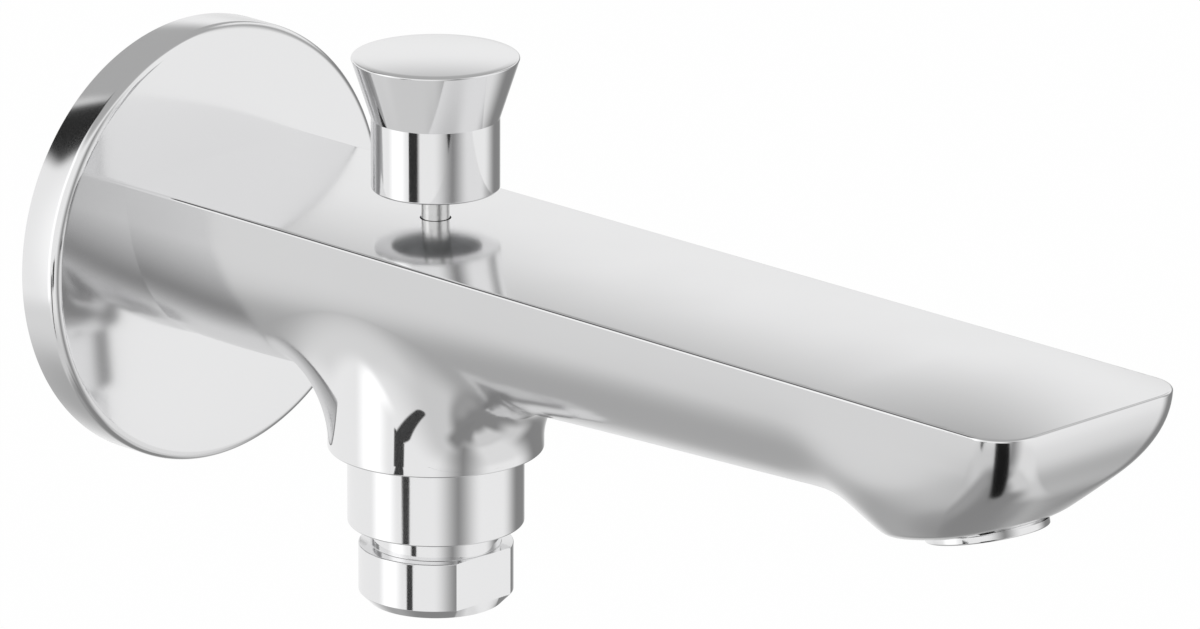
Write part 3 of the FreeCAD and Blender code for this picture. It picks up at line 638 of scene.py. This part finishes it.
def tail_piece(around=192):
    """The body's tail behind the flange, with the wall socket and the start of the inlet bore,
    whose circle lies below the socket's middle."""
    washer_end = SOCKET_LENGTH + WASHER_THICKNESS
    profile = eased([
        (TAIL_RADIUS, TAIL_END), *ring_groove(TAIL_RADIUS, TAIL_RING, -1), (TAIL_RADIUS, 0, 0.4),
        (SOCKET_RADIUS + SOCKET_CHAMFER, 0), (SOCKET_RADIUS, SOCKET_CHAMFER),
        (SOCKET_RADIUS, SOCKET_LENGTH), (WASHER_SEAT, SOCKET_LENGTH), (WASHER_SEAT, washer_end)],
        False)
    angle = np.linspace(0, 2 * math.pi, around, endpoint=False)
    socket = WALL_AXIS.ring(profile[:, :1], profile[:, 1:], angle[None, :])
    inlet = Axis((0, 0, -INLET_DROP), (0, -1, 0))
    bore = inlet.ring([[INLET_RADIUS]], [[washer_end], [INLET_LENGTH]], angle[None, :])
    wall = inlet.ring([[INLET_RADIUS + INLET_WALL]], [[INLET_LENGTH]], angle[None, :])
    rings = np.concatenate([wall, socket, bore])
    faces = grid_faces(len(rings), around, wrap_rows=True)
    return make_piece("tail", rings.reshape(-1, 3), faces)


def solid_of_revolution(name, axis, corners, body, *nodes, around=192, closed=True):
    """A turned piece that rides on a body and stands for CAD nodes."""
    piece = turned(name, axis, corners, around, closed)
    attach(piece, body)
    if nodes:
        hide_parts(*nodes)
    return piece


def even_walls(piece):
    """Let the long walls of a piece set its normals, so that their mirror images run straight."""
    piece.modifiers.new("even_walls", "WEIGHTED_NORMAL").keep_sharp = True


# Body

casting = casting_piece()
cut_hole(casting, "rod_hole", LIFT_AXIS, [
    (0, TOP - CROWN_WALL), (ROD_HOLE, TOP - CROWN_WALL), (ROD_HOLE, TOP + CUT_PAST),
    (0, TOP + CUT_PAST)])
outlet_bore = AERATOR_THREAD + FIT_GAP
cut_hole(casting, "outlet_bore", OUTLET_AXIS, [
    (0, -CUT_PAST), (outlet_bore, -CUT_PAST), (outlet_bore, AERATOR_DEPTH),
    (RISER_RADIUS, AERATOR_DEPTH), (RISER_RADIUS, RISER_TOP), (0, RISER_TOP)])
follow_form(casting, casting_normals)
boss = boss_piece()
tail = tail_piece()
for piece in (casting, boss, tail):
    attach(piece, "spout")
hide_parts("spout_body")

collar = TAIL_RADIUS + FIT_GAP
hollow = FLANGE_THICKNESS - FLANGE_WALL
flange = solid_of_revolution("flange", WALL_AXIS, [
    (collar, FLANGE_THICKNESS, 0.15), (FLANGE_RADIUS, FLANGE_THICKNESS, FLANGE_ROUND),
    (FLANGE_RADIUS, 0, 0.2), (FLANGE_RADIUS - FLANGE_WALL, 0, 0.2),
    (FLANGE_RADIUS - FLANGE_WALL, hollow, 0.6), (collar + COLLAR_WALL, hollow, 0.6),
    (collar + COLLAR_WALL, COLLAR_START, 0.2), (collar, COLLAR_START, 0.2)],
    "spout", "wall_flange", around=320)

socket = CONNECTOR_THREAD + FIT_GAP
socket_end = ADAPTER_FOOT + CONNECTOR_THREAD_LENGTH + CONNECTOR_WASHER
seat_top = ADAPTER_TOP + SEAT_HEIGHT
adapter = solid_of_revolution("adapter", LIFT_AXIS, [
    (ADAPTER_BORE, seat_top, 0.2), (ADAPTER_BORE, socket_end), (socket, socket_end),
    (socket, ADAPTER_FOOT, 0.15), (ADAPTER_RADIUS, ADAPTER_FOOT, 0.3),
    (ADAPTER_RADIUS, BOSS_FOOT, 0.1), (ADAPTER_THREAD, BOSS_FOOT),
    *ring_groove(ADAPTER_THREAD, ADAPTER_GROOVE, 1), (ADAPTER_THREAD, ADAPTER_TOP),
    (ADAPTER_BORE + SEAT_WIDTH, ADAPTER_TOP), (ADAPTER_BORE + SEAT_WIDTH, seat_top, 0.2)],
    "spout", "outlet_adapter", around=224)
even_walls(adapter)

connector = connector_piece()
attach(connector, "spout")
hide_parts("hose_connector")
even_walls(connector)

sleeve_bore = AERATOR_THREAD - AERATOR_WALL
housing = solid_of_revolution("aerator_ring", OUTLET_AXIS, [
    (MOUTH_RADIUS + MOUTH_CHAMFER, -AERATOR_PROUD, 0.15), (AERATOR_RING, -AERATOR_PROUD, 0.3),
    (AERATOR_RING, 0), (AERATOR_THREAD, 0), (AERATOR_THREAD, AERATOR_SLEEVE),
    (sleeve_bore, AERATOR_SLEEVE), (sleeve_bore, 0), (MOUTH_RADIUS, 0),
    (MOUTH_RADIUS, MOUTH_CHAMFER - AERATOR_PROUD, 0.1)], "spout", "aerator_housing")

# Diverter

dome = [(KNOB_DOME_RADIUS * (1 - t), KNOB_TOP + KNOB_DOME * (1 - (1 - t) ** 2))
        for t in np.linspace(0, 1, KNOB_DOME_STEPS + 1)]
rod_bore = ROD_RADIUS + RUNNING_GAP
rod_bore_end = ROD_TOP + FIT_GAP
knob = solid_of_revolution("knob", LIFT_AXIS, [
    (0, rod_bore_end), (rod_bore, rod_bore_end), (rod_bore, RECESS_TOP, 0.2),
    (RECESS_RADIUS, RECESS_TOP, 0.5), (RECESS_RADIUS, KNOB_FOOT, 0.2),
    (KNOB_RADIUS, KNOB_FOOT, 0.4), (KNOB_RADIUS, KNOB_WAIST, 0.15),
    (KNOB_TOP_RADIUS, KNOB_TOP - 0.1, 0.3), *dome], "diverter", "diverter_knob", closed=False)

# Painted shade: a grey piece in the knob's recess that darkens the hollow, where the real knob is
# dark from shade inside it.
recess_shade = solid_of_revolution("knob_recess_shade", LIFT_AXIS, [
    (ROD_RADIUS + FIT_GAP, RECESS_SHADE_TOP), (RECESS_RADIUS - RUNNING_GAP, RECESS_SHADE_TOP),
    (RECESS_RADIUS - RUNNING_GAP, RECESS_SHADE_FOOT, 0.15),
    (RECESS_RADIUS - RECESS_SHADE_LIP, RECESS_SHADE_FOOT, 0.15),
    (RECESS_RADIUS - RECESS_SHADE_TAPER, RECESS_SHADE_FLOOR, 0.3), (ROD_RADIUS + FIT_GAP, RECESS_SHADE_FLOOR)],
    "diverter", around=96)

rod = solid_of_revolution("rod", LIFT_AXIS, [
    (0, ROD_TOP), (ROD_RADIUS, ROD_TOP, 0.3), (ROD_RADIUS, ROD_SHOULDER, 0.1),
    (ROD_THREAD, ROD_SHOULDER), (ROD_THREAD, ROD_END, 0.3), (0, ROD_END)],
    "diverter", "diverter_rod", around=96, closed=False)


# Materials

# The fine bump's size and height in metres, and the size of the colour's variation as a share of
# the roughness' one.
FINE_GRAIN = 900.0
BUMP_HEIGHT = 0.0002
COLOUR_SIZE = 0.6


def math_node(tree, operation, *values):
    """The result of a math node whose inputs are numbers or the outputs of other nodes."""
    node = tree.nodes.new("ShaderNodeMath")
    node.operation = operation
    for socket, value in zip(node.inputs, values):
        if isinstance(value, (int, float)):
            socket.default_value = value
        else:
            tree.links.new(value, socket)
    return node.outputs[0]


def mixed(tree, share, first, second):
    """The output of a shader that goes from the first to the second with a share."""
    mix = tree.nodes.new("ShaderNodeMixShader")
    for socket, value in zip(mix.inputs, (share, first, second)):
        tree.links.new(value, socket)
    return mix.outputs[0]


def new_socket(group, name, kind, way="INPUT", value=None):
    """A named socket of a node group."""
    socket = group.interface.new_socket(name, in_out=way, socket_type=kind)
    if value is not None:
        socket.default_value = value
    return socket


def soft_variation():
    """Slow, weak differences over a surface: cloudy noise in Object coordinates, 0 to 1."""
    group = bpy.data.node_groups.new("soft_variation", "ShaderNodeTree")
    new_socket(group, "Size", "NodeSocketFloat", value=60.0)
    new_socket(group, "Low", "NodeSocketFloat", value=0.0)
    new_socket(group, "High", "NodeSocketFloat", value=1.0)
    new_socket(group, "Value", "NodeSocketFloat", "OUTPUT")
    n = group.nodes
    into, out = n.new("NodeGroupInput"), n.new("NodeGroupOutput")
    place, noise, fit = (n.new("ShaderNode" + k) for k in ("TexCoord", "TexNoise", "MapRange"))
    noise.inputs["Detail"].default_value = 3
    link = group.links.new
    link(place.outputs["Object"], noise.inputs["Vector"])
    link(into.outputs["Size"], noise.inputs["Scale"])
    link(noise.outputs["Fac"], fit.inputs["Value"])
    fit.inputs["From Min"].default_value = 0.3
    fit.inputs["From Max"].default_value = 0.7
    link(into.outputs["Low"], fit.inputs["To Min"])
    link(into.outputs["High"], fit.inputs["To Max"])
    link(fit.outputs["Result"], out.inputs["Value"])
    return group


VARIATION = soft_variation()


def varied(tree, size, low=0.0, high=1.0):
    """A soft variation of some size between two values."""
    node = tree.nodes.new("ShaderNodeGroup")
    node.node_tree = VARIATION
    for key, value in (("Size", size), ("Low", low), ("High", high)):
        node.inputs[key].default_value = value
    return node.outputs["Value"]


def material(name, colour, metallic, roughness, spread, size, bump=0.0, tint=0.03, edge_gloss=0.0):
    """A procedural finish: its roughness and colour vary softly, and a fine bump breaks its gloss.
    Edge gloss is how much of the roughness is polished away where the edge attribute is 1."""
    made = bpy.data.materials.new(name)
    made.use_nodes = True
    tree = made.node_tree
    nodes, link = tree.nodes, tree.links.new
    shader = nodes["Principled BSDF"]
    shader.inputs["Metallic"].default_value = metallic
    rough = varied(tree, size, max(roughness - spread, 0.0), roughness + spread)
    if edge_gloss:
        edge = nodes.new("ShaderNodeAttribute")
        edge.attribute_name = "edge"
        keep = math_node(tree, "MULTIPLY_ADD", edge.outputs["Fac"], -edge_gloss, 1)
        rough = math_node(tree, "MULTIPLY", rough, keep)
    link(rough, shader.inputs["Roughness"])
    mix = nodes.new("ShaderNodeMix")
    mix.data_type = "RGBA"
    mix.inputs["A"].default_value = (*[c * (1 - tint) for c in colour], 1)
    mix.inputs["B"].default_value = (*[min(c * (1 + tint), 1) for c in colour], 1)
    link(varied(tree, size * COLOUR_SIZE), mix.inputs["Factor"])
    link(mix.outputs["Result"], shader.inputs["Base Color"])
    if bump:
        raise_by = nodes.new("ShaderNodeBump")
        raise_by.inputs["Strength"].default_value = bump
        raise_by.inputs["Distance"].default_value = BUMP_HEIGHT
        link(varied(tree, FINE_GRAIN), raise_by.inputs["Height"])
        link(raise_by.outputs["Normal"], shader.inputs["Normal"])
    return made


CHROME = (0.86, 0.86, 0.865)
FINISHES = {
    "body_chrome": material("body_chrome", CHROME, 1, 0.14, 0.02, 40, tint=0.008, edge_gloss=0.7),
    "flange_chrome": material("flange_chrome", CHROME, 1, 0.11, 0.01, 40, tint=0.008),
    "fittings_chrome": material("fittings_chrome", CHROME, 1, 0.075, 0.015, 60, tint=0.008),
    "drawn_steel": material("drawn_steel", (0.74, 0.74, 0.735), 1, 0.12, 0.03, 300, 0.1),
    "turned_brass": material("turned_brass", (0.78, 0.60, 0.30), 1, 0.28, 0.06, 200, 0.2),
    "black_rubber": material("black_rubber", (0.035, 0.035, 0.037), 0, 0.6, 0.1, 250, 0.3),
    "soft_rubber": material("soft_rubber", (0.09, 0.09, 0.092), 0, 0.7, 0.08, 250, 0.3),
    "grey_plastic": material("grey_plastic", (0.50, 0.51, 0.52), 0, 0.45, 0.06, 200, 0.15),
}
NODE_SLOTS = {s["node"]: s["material_slot"] for s in frame["record"]["subparts"]}
PIECE_FINISHES = {
    casting: "body_chrome", boss: "body_chrome", tail: "body_chrome", flange: "flange_chrome",
    adapter: "fittings_chrome", connector: "fittings_chrome", housing: "fittings_chrome",
    # The grey on the knob's recess piece is painted shade for the hollow.
    knob: "fittings_chrome", rod: "drawn_steel", recess_shade: "grey_plastic",
}

for piece, slot in PIECE_FINISHES.items():
    piece.data.materials.clear()
    piece.data.materials.append(FINISHES[slot])
for name, thing in frame["nodes"].items():
    for slot in thing.material_slots:
        slot.material = FINISHES[NODE_SLOTS[name]]


# Camera, room, floor and cards

PHOTO_WIDTH = 1200
FOCAL_PIXELS = 9537.9
SENSOR = 36
CAMERA_PLACE = (-1.106461, -1.203602, 0.489509)
CAMERA_RIGHT = (0.70587, -0.70833, 0.00405)
CAMERA_UP = (0.20633, 0.21108, 0.95544)
CAMERA_BACK = (-0.67762, -0.67359, 0.29514)

# The room that the metal mirrors. Each panel: middle and half width round the room from +X,
# softness of its sides, lower and upper edge, softness of those, and its brightness.
ROOM = 0.92
PANELS = [
    ("low wall", 0, 181, 0.5, -100, -32, 12, 0.66),
    ("low wall on the left", 125, 22, 8, -40, -24, 4, 0.75),
    ("low wall ahead", 302, 30, 16, -100, -26, 6, 0.81),
    ("shade behind", 95, 32, 22, -100, -39, 9, 0.42),
    ("ground behind", 42, 26, 16, -100, -46, 6, 0.27),
    ("ground", 0, 181, 0.5, -100, -61, 7, 0.26),
    ("ground ahead", 312, 36, 14, -76, -56, 6, 0.68),
    ("ground on the left", 140, 40, 20, -76, -62, 6, 0.36),
    ("ceiling", 0, 181, 0.5, 48, 100, 6, 0.44),
    ("ceiling behind", 60, 42, 3, 22, 100, 6, 0.437),
    ("lintel behind", 117, 12, 2, 25, 54, 3, 0.02),
    ("right pier", 336, 18, 10, 2, 62, 8, 0.42),
    ("right window", 302, 26, 16, -20, 54, 6, 0.93),
    ("left window", 153, 14, 9, -23, 40, 2, 1.25),
    ("corner by the camera", 255, 14, 20, -60, 36, 8, 0.24),
    ("seam in the ground", 230, 20, 12, -100, -52, 6, 0.25),
    ("door behind", 8, 28, 18, -44, 8, 6, 0.25),
]

# How white the camera sees the floor, and its half width and height in metres.
FLOOR_WHITE = 0.97
FLOOR_HALF = 6
FLOOR_HEIGHT = -0.3

# Cards put dark lines in the metal. Each spans two ranges: start, end and step.
# The knob's stands upright on the spout's left and fades in along it.
CARD_SIDE = -194
KNOB_CARD = ((-130, -56, 1), (-55, -13, 1))
KNOB_CARD_FADE = (-130, -108)

# The boss' is far away, and its ranges are degrees round from +X and up. It draws an upright post
# with a foot that bends away to the left.
FAR = 3000
BOSS_CARD = ((165, 194, 0.1), (-42, -11, 0.05))
POST_SIDES = ((179.8, 181.4), (192.6, 191))
POST_FOOT = (-18.7, -18.35)
POST_BEND = ((186.6, -20.6), 4.6, (173, -36.6), 3.2, 0.7)

# The nose's lies level below it, and its stroke widens away from the corner.
NOSE_SIDE = np.array([-18.5, -214, -30])
NOSE_CARD_AZIMUTH = math.radians(227.5)
NOSE_CARD = ((-12, 126, 1), (-40, 41, 1))
NOSE_STROKE = ((-4, 0), 5, (95, 0), 30, 1.5)


def set_camera():
    """The camera at the photograph's place, with its own axes right, up and back."""
    data = bpy.data.cameras.new("camera")
    data.sensor_width = SENSOR
    data.lens = FOCAL_PIXELS * SENSOR / PHOTO_WIDTH
    data.clip_end = 20
    camera = bpy.data.objects.new("camera", data)
    axes = Matrix((CAMERA_RIGHT, CAMERA_UP, CAMERA_BACK)).transposed().to_4x4()
    camera.matrix_world = Matrix.Translation(CAMERA_PLACE) @ axes
    bpy.context.scene.collection.objects.link(camera)
    bpy.context.scene.camera = camera


def stage_mesh(name, points, faces, camera=True):
    """A flat stage piece from points in metres and faces, with its own matt material."""
    mesh = bpy.data.meshes.new(name)
    mesh.from_pydata(points, [], faces)
    piece = bpy.data.objects.new(name, mesh)
    bpy.context.scene.collection.objects.link(piece)
    made = bpy.data.materials.new(name)
    made.use_nodes = True
    shader = made.node_tree.nodes["Principled BSDF"]
    shader.inputs["Roughness"].default_value = 0.9
    shader.inputs["Specular IOR Level"].default_value = 0
    mesh.materials.append(made)
    piece.visible_camera = camera
    return piece, made


def pale_floor():
    """The floor under the spout, clear from below. The metal mirrors the room instead, which is as
    pale."""
    corners = [(x * FLOOR_HALF, y * FLOOR_HALF, FLOOR_HEIGHT)
               for x, y in ((-1, -1), (1, -1), (1, 1), (-1, 1))]
    floor, made = stage_mesh("floor", corners, [(0, 1, 2, 3)])
    tree = made.node_tree
    nodes = tree.nodes
    shader = nodes["Principled BSDF"]
    shader.inputs["Base Color"].default_value = (0.9, 0.9, 0.9, 1)
    path, white, side, clear = (nodes.new("ShaderNode" + k) for k in (
        "LightPath", "Emission", "NewGeometry", "BsdfTransparent"))
    share = math_node(tree, "MULTIPLY", path.outputs["Is Camera Ray"], FLOOR_WHITE)
    above = mixed(tree, share, shader.outputs[0], white.outputs[0])
    one_sided = mixed(tree, side.outputs["Backfacing"], above, clear.outputs[0])
    tree.links.new(one_sided, nodes["Material Output"].inputs["Surface"])
    floor.visible_glossy = False


def stroke(u, v, start, start_radius, end, end_radius, soft):
    """How much a point lies under a rounded stroke: 1 inside, 0 outside, eased over its soft edge.
    A stroke is a line whose radius changes from its start to its end."""
    along = np.subtract(end, start)
    share = (((u - start[0]) * along[0] + (v - start[1]) * along[1]) / (along @ along)).clip(0, 1)
    away = np.hypot(u - start[0] - share * along[0], v - start[1] - share * along[1])
    beyond = away - start_radius - share * (end_radius - start_radius)
    return smooth_step(beyond, soft, -soft)


def dark_card(name, place, u, v, cover, shade):
    """A dark card, unseen by the camera, that puts a dark line in the metal. It spans the ranges u
    and v, place turns those into points in millimetres, and cover says how opaque it is at each."""
    u, v = np.meshgrid(np.arange(*u), np.arange(*v), indexing="ij")
    points = place(u.ravel(), v.ravel()) * MM
    card, made = stage_mesh(name, points, grid_faces(*u.shape, wrap_columns=False), camera=False)
    mark(card.data, "cover", cover(u.ravel(), v.ravel()))
    nodes = made.node_tree.nodes
    shader, opaque = nodes["Principled BSDF"], nodes.new("ShaderNodeAttribute")
    shader.inputs["Base Color"].default_value = (shade, shade, shade, 1)
    opaque.attribute_name = "cover"
    made.node_tree.links.new(opaque.outputs["Fac"], shader.inputs["Alpha"])
    card.visible_diffuse = False
    card.visible_shadow = False


def beside(y, z):
    """Points on an upright plane to the left of the spout."""
    return np.stack([CARD_SIDE + 0 * y, y, z], axis=-1)


def knob_cover(y, z):
    """Clear at the knob card's far edge and dark past its fade."""
    start, end = KNOB_CARD_FADE
    return ((y - start) / (end - start)).clip(0, 1)


def far_off(azimuth, elevation):
    """Points far from the boss, in directions in degrees."""
    azimuth, elevation = np.radians(azimuth), np.radians(elevation)
    ahead = np.stack([np.cos(elevation) * np.cos(azimuth), np.cos(elevation) * np.sin(azimuth),
                      np.sin(elevation)], axis=-1)
    return np.array([0, AXIS_Y, BOSS_FOOT]) + FAR * ahead


def boss_cover(azimuth, elevation):
    """An upright post whose foot bends away to the left, with soft edges."""
    right, left = POST_SIDES
    post = (smooth_step(azimuth, *right) * smooth_step(azimuth, *left)
            * smooth_step(elevation, *POST_FOOT))
    return np.maximum(post, stroke(azimuth, elevation, *POST_BEND))


def by_the_nose(u, v):
    """Points on a level plane that starts below the nose and runs away from its left corner."""
    away = np.array([math.cos(NOSE_CARD_AZIMUTH), math.sin(NOSE_CARD_AZIMUTH), 0])
    across = np.array([-away[1], away[0], 0])
    return NOSE_SIDE + u[:, None] * away + v[:, None] * across


def nose_cover(u, v):
    """The dark stroke on the nose's card."""
    return stroke(u, v, *NOSE_STROKE)


def soft_panel():
    """The mask of a soft-edged panel on the room's wall, 1 inside and 0 outside: its edges ease
    over Softness degrees round the room and over Edge degrees up and down."""
    group = bpy.data.node_groups.new("soft_panel", "ShaderNodeTree")
    for name in ("Azimuth", "Elevation", "Middle", "Half Width", "Softness", "Low", "High", "Edge"):
        new_socket(group, name, "NodeSocketFloat")
    new_socket(group, "Mask", "NodeSocketFloat", "OUTPUT")
    n, link = group.nodes, group.links.new
    into, out = n.new("NodeGroupInput"), n.new("NodeGroupOutput")
    calc = partial(math_node, group)

    def ease(value, start, end):
        """0 at start, 1 at end, smooth between."""
        fit = n.new("ShaderNodeMapRange")
        fit.interpolation_type = "SMOOTHSTEP"
        link(value, fit.inputs["Value"])
        link(start, fit.inputs["From Min"])
        link(end, fit.inputs["From Max"])
        return fit.outputs["Result"]

    g = into.outputs
    away = calc("ABSOLUTE", calc("WRAP", calc("SUBTRACT", g["Azimuth"], g["Middle"]), 180, -180))
    sides = ease(away, calc("ADD", g["Half Width"], g["Softness"]),
                 calc("SUBTRACT", g["Half Width"], g["Softness"]))
    foot = ease(g["Elevation"], calc("SUBTRACT", g["Low"], g["Edge"]),
                calc("ADD", g["Low"], g["Edge"]))
    head = ease(g["Elevation"], calc("ADD", g["High"], g["Edge"]),
                calc("SUBTRACT", g["High"], g["Edge"]))
    link(calc("MULTIPLY", sides, calc("MULTIPLY", foot, head)), out.inputs["Mask"])
    return group


def set_world():
    """The mirrored room. The camera sees white behind the object, and matt things are lit
    evenly."""
    world = bpy.data.worlds.new("room")
    bpy.context.scene.world = world
    world.use_nodes = True
    tree = world.node_tree
    nodes, link = tree.nodes, tree.links.new
    calc = partial(math_node, tree)
    place, apart = nodes.new("ShaderNodeTexCoord"), nodes.new("ShaderNodeSeparateXYZ")
    link(place.outputs["Generated"], apart.inputs[0])
    azimuth = calc("DEGREES", calc("ARCTAN2", apart.outputs["Y"], apart.outputs["X"]))
    elevation = calc("DEGREES", calc("ARCSINE", apart.outputs["Z"]))
    level = ROOM
    mask = soft_panel()
    for name, *values, brightness in PANELS:
        panel = nodes.new("ShaderNodeGroup")
        panel.node_tree = mask
        panel.label = name
        link(azimuth, panel.inputs["Azimuth"])
        link(elevation, panel.inputs["Elevation"])
        for key, value in zip(("Middle", "Half Width", "Softness", "Low", "High", "Edge"), values):
            panel.inputs[key].default_value = value
        cover = panel.outputs["Mask"]
        level = calc("ADD", calc("MULTIPLY", level, calc("SUBTRACT", 1, cover)),
                     calc("MULTIPLY", cover, brightness))
    mirrored = nodes["Background"]
    link(level, mirrored.inputs["Color"])
    path, white, even = (nodes.new("ShaderNode" + k) for k in (
        "LightPath", "Background", "Background"))
    white.inputs["Color"].default_value = (1, 1, 1, 1)
    even.inputs["Color"].default_value = (0.95, 0.95, 0.95, 1)
    lit = mixed(tree, path.outputs["Is Glossy Ray"], even.outputs[0], mirrored.outputs[0])
    seen = mixed(tree, path.outputs["Is Camera Ray"], lit, white.outputs[0])
    link(seen, nodes["World Output"].inputs["Surface"])


set_camera()
set_world()
pale_floor()
dark_card("card_for_the_knob", beside, *KNOB_CARD, knob_cover, 0.04)
dark_card("card_for_the_boss", far_off, *BOSS_CARD, boss_cover, 0.06)
dark_card("card_by_the_nose", by_the_nose, *NOSE_CARD, nose_cover, 0.012)

bpy.context.scene.view_settings.view_transform = "Standard"
